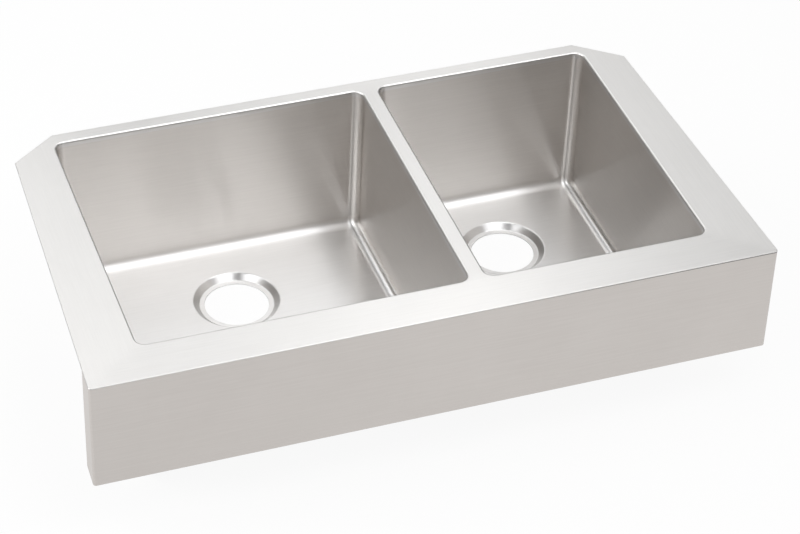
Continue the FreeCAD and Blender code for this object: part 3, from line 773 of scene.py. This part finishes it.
def braceTree():
    # Rows of spot welds: flat domes on the strap's two flanges.
    spec = braceSpec
    g = Growth("spotWelds", spots=spec["spots"], gap=spec["spotGap"], radius=spec["spotRadius"],
               rise=spec["spotRise"], middle=0.0, lowY=0.0, lowZ=0.0, highY=0.0, highZ=0.0)
    given = g.given
    dome = g.add("GeometryNodeMeshUVSphere", spec["spotSegments"], spec["spotRings"], 1.0)
    flat = g.add("GeometryNodeTransform", dome, None, None,
                 g.vector(given["radius"], given["rise"], given["radius"]))
    half = g.math("MULTIPLY", given["gap"], g.math("MULTIPLY", g.math("SUBTRACT", given["spots"], 1.0), 0.5))
    start = g.math("SUBTRACT", given["middle"], half)
    rows = []
    for y, z in (("lowY", "lowZ"), ("highY", "highZ")):
        line = g.add("GeometryNodeMeshLine", given["spots"], None, g.vector(start, given[y], given[z]),
                     g.vector(given["gap"], 0.0, 0.0))
        rows.append(g.add("GeometryNodeInstanceOnPoints", line, None, flat))
    return g.finish(given["Geometry"], *rows)


def frontWallAt(z):
    # Outside face of the bowls' front walls.
    opening = openings[0]
    return opening["y0"] - sheet["gauge"] + wallLean * (opening["rim"] - z)


def makeBraces():
    material, tree = braceSteel(), braceTree()
    spec, gauge = braceSpec, sheet["gauge"]
    outer, inner, end = spec["outerBend"], spec["innerBend"], spec["endRound"]
    for node in ("outer_left_brace", "inner_left_brace", "inner_right_brace", "outer_right_brace"):
        low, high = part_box(node)
        web = low.z + spec["webRise"]
        section = roundedLine([
            (low.y + gauge / 2, low.z, 0), (low.y, low.z, end), (low.y, web + gauge, outer),
            (frontWallAt(web) - gauge, web + gauge, inner), (frontWallAt(high.z) - gauge, high.z, end),
            (frontWallAt(high.z), high.z, end), (frontWallAt(web), web, outer),
            (low.y + gauge, web, inner), (low.y + gauge, low.z, end),
            (low.y + gauge / 2, low.z, 0)], steps=5)[:-1]
        mesh = bmesh.new()
        for face in bar(mesh, section, low.x, high.x):
            fillFlat(mesh, face)
        name = "brace" + "".join(word.title() for word in node.split("_")[:2])
        strap = toMesh(formed(mesh, name, material))
        lowZ, highZ = (low.z + web) / 2, (web + gauge + high.z) / 2
        piece = tree.run(name, strap, material, middle=(low.x + high.x) / 2, lowY=low.y + gauge, lowZ=lowZ,
                         highY=frontWallAt(highZ) - gauge, highZ=highZ)
        settle(smoothed(piece, spec["sharp"]), node)


makeBraces()
print("braces")


matSpec = {
    "corner": 12 * mm,
    "edgeRound": 0.4 * mm,
    "edgeShare": 0.3,           # where the middle of that round lies
    "pitch": 10 * mm,           # moulded pads in rows
    "pad": 7 * mm,
    "padTop": 5.6 * mm,
    "padRise": 0.8 * mm,
    "margin": 4 * mm,
    "drainGap": 8.6 * mm,       # from the drain's recess to the cut-out
    "clearPads": 0.75,          # pads keep this share of their width from the cut-out
    "sharp": radians(20),
    "rubber": {"dark": (0.024, 0.024, 0.026), "light": (0.042, 0.042, 0.044), "contrast": (0.35, 0.65),
               "roughness": 0.78, "spread": 0.08, "smears": 18.0, "smearShare": 0.4,
               "speckles": 700.0, "speckleDepth": 0.05 * mm},
}
floorMatLow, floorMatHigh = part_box("left_bowl_floor_mat")
matThickness = floorMatHigh.z - floorMatLow.z


def matRubber():
    look = matSpec["rubber"]
    f = Finish("matRubber", 0.0)
    speckle = f.noise(look["speckles"], detail=3.0)
    smear = f.noise(look["smears"], detail=3.0, seed=6.0)
    tone = f.ramp(f.blend(look["smearShare"], speckle, smear), *look["contrast"])
    f.feed(f.shader["Base Color"], f.colour(tone, look["dark"], look["light"]))
    f.rough(smear, look)
    f.relief((speckle, look["speckleDepth"]))
    return f.material


def matTree():
    # Square pads in rows over a flat sheet, none of them over the drain's cut-out.
    g = Growth("mouldedPads", width=0.1, depth=0.1, margin=matSpec["margin"], pitch=matSpec["pitch"],
               pad=matSpec["pad"], padTop=matSpec["padTop"], rise=matSpec["padRise"], base=2 * mm,
               holeX=0.0, holeY=0.0, holeRadius=0.0)
    given = g.given
    counts, spans = [], []
    for side in ("width", "depth"):
        free = g.math("SUBTRACT", g.math("SUBTRACT", given[side], g.math("MULTIPLY", given["margin"], 2.0)),
                      given["pad"])
        count = g.math("FLOOR", g.math("DIVIDE", free, given["pitch"]))
        counts.append(g.math("ADD", count, 1.0))
        spans.append(g.math("MULTIPLY", count, given["pitch"]))
    grid = g.add("GeometryNodeMeshGrid", *spans, *counts)
    place = g.add("GeometryNodeInputPosition")
    away = g.add("ShaderNodeVectorMath", place, g.vector(given["holeX"], given["holeY"], 0.0),
                 operation="DISTANCE", out=1)
    near = g.add("FunctionNodeCompare", away, given["holeRadius"], operation="LESS_THAN")
    spots = g.add("GeometryNodeDeleteGeometry", grid, near, domain="POINT")
    # A pad is a cone of four sides, turned so that its sides lie along the sheet's.
    toCorner = sqrt(2) / 2
    cone = g.add("GeometryNodeMeshCone", 4, 1, 1, g.math("MULTIPLY", given["padTop"], toCorner),
                 g.math("MULTIPLY", given["pad"], toCorner), given["rise"])
    pad = g.add("GeometryNodeTransform", cone, g.vector(0.0, 0.0, given["base"]), (0, 0, pi / 4))
    return g.finish(given["Geometry"], g.add("GeometryNodeInstanceOnPoints", spots, None, pad))


rubber, pads = matRubber(), matTree()


def makeMat(name, node, width, depth, placing, hole=None):
    # The sheet lies on its local XY plane with its pads up, and placing puts it where it belongs.
    base = matThickness - matSpec["padRise"]
    corners = rectangle(-width / 2, -depth / 2, width / 2, depth / 2)
    small, corner = matSpec["edgeRound"], matSpec["corner"]
    part = matSpec["edgeShare"] * small
    mesh = bmesh.new()
    rows = skin(mesh, [outlineLoop(corners, inset, z, corner - inset) for inset, z in
                       ((0, 0), (0, base - small), (part, base - part), (small, base))])
    lower, upper, sizes = [rows[0]], [rows[-1]], {}
    if hole:
        centre, radius = hole
        inner = skin(mesh, [circleLoop(centre, radius, z) for z in (0, base)])
        lower.append(inner[0])
        upper.append(inner[1])
        sizes = {"holeX": centre.x, "holeY": centre.y,
                 "holeRadius": radius + matSpec["pad"] * matSpec["clearPads"]}
    fillFlat(mesh, *lower)
    fillFlat(mesh, *upper)
    flatSheet = toMesh(formed(mesh, name, rubber))
    piece = pads.run(name, flatSheet, rubber, width=width, depth=depth, base=base, **sizes)
    piece.data.transform(placing)
    settle(smoothed(piece, matSpec["sharp"]), node)


def placingOf(across, up, outward, origin):
    axes = Matrix([Vector(axis) for axis in (across, up, outward)]).transposed()
    return Matrix.Translation(origin) @ axes.to_4x4()


def makeWallMat(opening, side, wall, outX, outY):
    # A wall mat leans as its wall does; (outX, outY) points away from the bowl.
    node = f"{side}_bowl_{wall}_mat"
    low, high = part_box(node)
    middle = (low + high) / 2
    grow = sheet["gauge"] - wallLean * (opening["rim"] - middle.z)
    foot = middle.copy()
    if outY:
        foot.y = opening["y1"] + grow if outY > 0 else opening["y0"] - grow
        width = high.x - low.x
    else:
        foot.x = opening["x1"] + grow if outX > 0 else opening["x0"] - grow
        width = high.y - low.y
    lean = atan2(wallLean, 1)
    outward = Vector((outX * cos(lean), outY * cos(lean), -sin(lean)))
    up = Vector((outX * sin(lean), outY * sin(lean), cos(lean)))
    height = (high.z - low.z - matThickness * sin(lean)) / cos(lean)
    makeMat(f"{side}{wall.title()}Mat", node, width, height, placingOf(up.cross(outward), up, outward, foot))


def makeFloorMat(side):
    node = f"{side}_bowl_floor_mat"
    low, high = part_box(node)
    middle = (low + high) / 2
    drain = mounts[f"{side}_drain"]
    centre = Vector(drain["pos_m"])
    cutOut = drain["dims"]["r_mm"] * mm + bowlSpec["seatWidth"] + bowlSpec["recessRun"] + matSpec["drainGap"]
    downward = placingOf((1, 0, 0), (0, -1, 0), (0, 0, -1), (middle.x, middle.y, high.z))
    makeMat(f"{side}FloorMat", node, high.x - low.x, high.y - low.y, downward,
            (Vector((centre.x - middle.x, middle.y - centre.y)), cutOut))


def makeMats():
    for opening in openings:
        side = opening["node"].split("_")[0]
        towards = 1 if side == "left" else -1   # the divider lies on this side of the bowl
        walls = {"front": (0, -1), "back": (0, 1), "side": (-towards, 0), "divider": (towards, 0)}
        for wall, (outX, outY) in walls.items():
            makeWallMat(opening, side, wall, outX, outY)
        makeFloorMat(side)
    low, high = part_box("apron_mat")
    middle = (low + high) / 2
    makeMat("apronMat", "apron_mat", high.x - low.x, high.z - low.z,
            placingOf((-1, 0, 0), (0, 0, 1), (0, 1, 0), (middle.x, low.y, middle.z)))


makeMats()
print("mats")


floorSpec = {
    "size": 14.0,
    "below": 0.3 * mm,          # under the drains' lowest rings
    "dark": (0.85, 0.85, 0.85),
    "light": (0.87, 0.87, 0.87),
    "patches": 3.0,
    "roughness": 0.9,
    "whiteShare": 0.93,         # the rest shows the sink's shadow
    "shadowBlur": 0.06,
}


def makeFloor():
    spec = floorSpec
    half = spec["size"] / 2
    mesh = bmesh.new()
    mesh.faces.new([mesh.verts.new((x, y, -spec["below"])) for x, y in rectangle(-half, -half, half, half)])
    floor = toObject(mesh, "floor")
    f = Finish("paleFloor", 0.0)
    f.shader["Roughness"].default_value = spec["roughness"]
    f.feed(f.shader["Base Color"], f.colour(f.noise(spec["patches"]), spec["dark"], spec["light"]))
    # Under the sink the floor is in its shadow, so the drains don't light the bowls from below.
    low, high = cadBox
    outside = 0.0
    for axis, value in enumerate((f.x, f.y)):
        middle, reach = (low[axis] + high[axis]) / 2, (high[axis] - low[axis]) / 2
        away = f.math("ABSOLUTE", f.math("SUBTRACT", value, middle))
        outside = f.math("MAXIMUM", outside, f.ramp(away, reach - spec["shadowBlur"], reach))
    f.showWhite(spec["whiteShare"], outside)
    floor.data.materials.append(f.material)


# Soft boxes round the sink: compass is the bearing clockwise from +Y, height the angle above the floor.
lamps = {
    "frontBox": {"compass": 150, "height": 58, "away": 2.2, "size": (2.1, 1.0), "radiance": 2.9},
    "lowLeft": {"compass": 240, "height": 20, "away": 2.6, "size": (1.6, 0.8), "radiance": 1.0},
    "leftBox": {"compass": 252, "height": 45, "away": 2.4, "size": (1.6, 1.4), "radiance": 1.8},
    "farLeftBox": {"compass": 287, "height": 45, "away": 2.4, "size": (1.2, 1.4), "radiance": 3.7},
    "backLeft": {"compass": 346, "height": 40, "away": 2.4, "size": (1.0, 1.6), "radiance": 1.4},
    "backMiddle": {"compass": 18, "height": 42, "away": 2.4, "size": (0.85, 1.7), "radiance": 0.95},
    "backRight": {"compass": 42, "height": 42, "away": 2.4, "size": (1.2, 1.6), "radiance": 0.76},
    "topBox": {"compass": 66, "height": 78, "away": 2.3, "size": (1.6, 1.2), "radiance": 1.8},
    "frontTopBox": {"compass": 200, "height": 76, "away": 2.3, "size": (1.2, 0.9), "radiance": 1.05},
}
studio = {"middle": (0, 0, 0.15), "worldStrength": 0.1}


def makeLamps():
    for name, lamp in lamps.items():
        light = bpy.data.lights.new(name, "AREA")
        light.shape = "RECTANGLE"
        light.size, light.size_y = lamp["size"]
        light.energy = lamp["radiance"] * pi * light.size * light.size_y
        holder = linked(name, light)
        compass, height = radians(lamp["compass"]), radians(lamp["height"])
        towards = Vector((cos(height) * sin(compass), cos(height) * cos(compass), sin(height)))
        holder.location = Vector(studio["middle"]) + towards * lamp["away"]
        holder.rotation_euler = (-towards).to_track_quat("-Z", "Y").to_euler()
        holder.visible_camera = False


def makeWorld():
    # The camera sees white, and the object gets a little even light.
    world = bpy.data.worlds.new("studio")
    bpy.context.scene.world = world
    world.use_nodes = True
    g = Graph(world.node_tree)
    background = world.node_tree.nodes["Background"].inputs
    background["Color"].default_value = (1, 1, 1, 1)
    seen = g.add("ShaderNodeLightPath", out=0)
    g.feed(background["Strength"], g.math("MAXIMUM", seen, studio["worldStrength"]))


cameraSpec = {
    "place": (-0.9623, -2.6519, 2.3812),
    "down": 38.73,              # degrees below level
    "right": 20.57,             # and to the right of +Y
    "roll": 2.21,
    "focal": 2703.8,            # in pixels of the photograph, whose width is imageWidth
    "imageWidth": 800,
    "sensor": 36,
}


def makeCamera():
    spec = cameraSpec
    camera = bpy.data.cameras.new("photoCamera")
    camera.sensor_width = spec["sensor"]
    camera.lens = spec["focal"] / spec["imageWidth"] * spec["sensor"]
    holder = linked("photoCamera", camera)
    holder.matrix_world = (Matrix.Translation(spec["place"])
                           @ Matrix.Rotation(-radians(spec["right"]), 4, "Z")
                           @ Matrix.Rotation(radians(90 - spec["down"]), 4, "X")
                           @ Matrix.Rotation(radians(spec["roll"]), 4, "Z"))
    bpy.context.scene.camera = holder


makeFloor()
makeLamps()
makeWorld()
makeCamera()
bpy.context.scene.view_settings.view_transform = "Standard"
print("stage")
